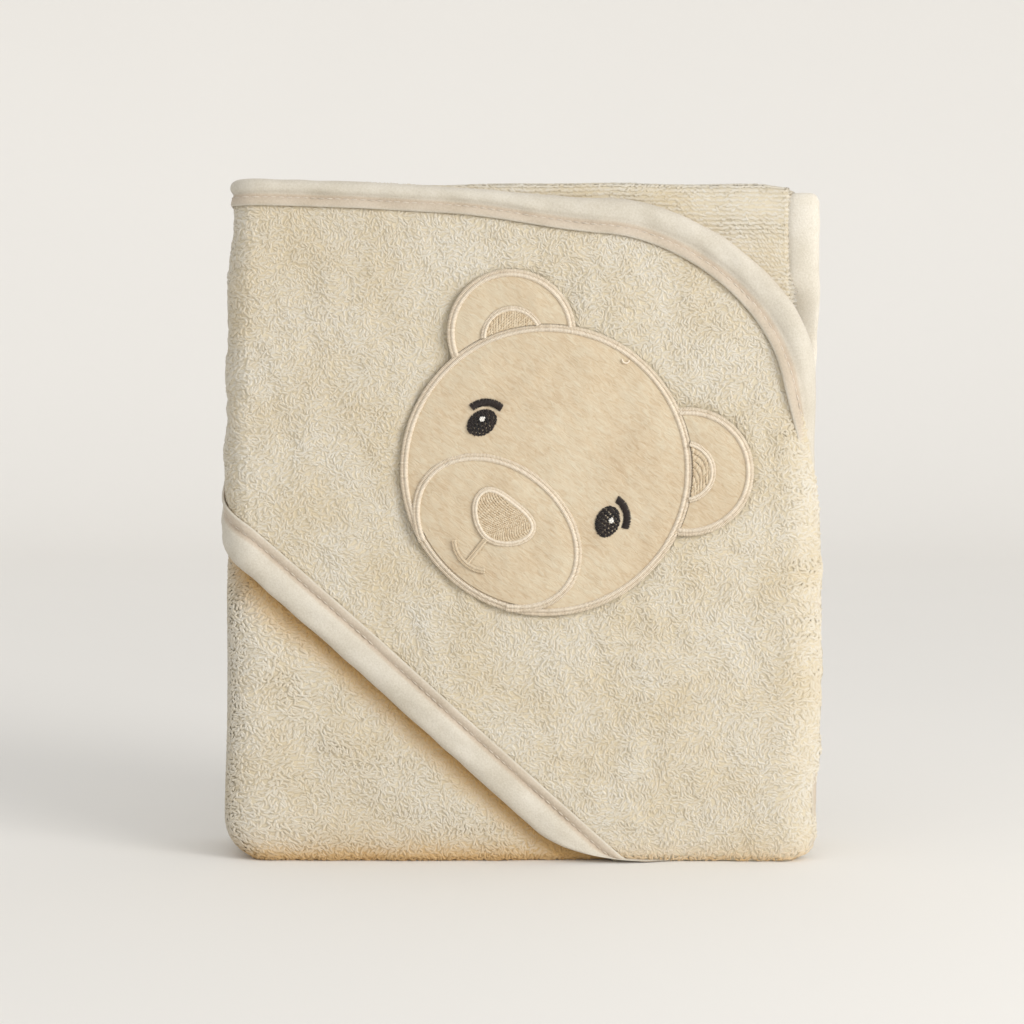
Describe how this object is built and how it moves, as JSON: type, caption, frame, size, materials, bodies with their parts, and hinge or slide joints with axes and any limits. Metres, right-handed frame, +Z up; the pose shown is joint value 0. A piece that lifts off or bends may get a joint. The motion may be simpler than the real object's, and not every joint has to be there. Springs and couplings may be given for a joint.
{
  "type": "hooded baby towel",
  "caption": "Square hooded bath towel for a baby, folded into an upright bundle, with a bear face sewn on the hood and a soft binding round its edges.",
  "frame": {"origin": "middle of the bundle's bottom, on the surface it stands on", "axes": "+Z up the folded bundle, the bear face looks along -Y, +X to the right of a person facing the bear"},
  "size_m": [0.2244, 0.065, 0.2555],
  "materials": {
    "terry": "looped cotton towelling",
    "binding_velour": "short velour tape",
    "topstitch_thread": "matt polyester thread",
    "applique_velour": "sheared velour",
    "satin_thread": "satin-stitched rayon thread",
    "taupe_thread": "filled embroidery thread",
    "dark_thread": "filled embroidery thread",
    "white_thread": "embroidery thread",
    "backing": "tear-away interlining"
  },
  "bodies": {
    "root": {"towel_body": "terry", "hood_panel": "terry", "edge_binding": "binding_velour", "hood_binding": "binding_velour", "edge_binding_stitch": "topstitch_thread", "hood_binding_stitch": "topstitch_thread", "philtrum_stitch": "topstitch_thread", "mouth_stitch": "topstitch_thread", "head_patch": "applique_velour", "left_ear_patch": "applique_velour", "right_ear_patch": "applique_velour", "muzzle_patch": "applique_velour", "head_border": "satin_thread", "left_ear_border": "satin_thread", "right_ear_border": "satin_thread", "left_inner_ear_border": "satin_thread", "right_inner_ear_border": "satin_thread", "muzzle_border": "satin_thread", "nose_border": "satin_thread", "left_inner_ear": "taupe_thread", "right_inner_ear": "taupe_thread", "nose_fill": "taupe_thread", "left_eye": "dark_thread", "right_eye": "dark_thread", "left_brow": "dark_thread", "right_brow": "dark_thread", "left_eye_highlight": "white_thread", "right_eye_highlight": "white_thread", "embroidery_backing": "backing"}
  },
  "joints": []
}
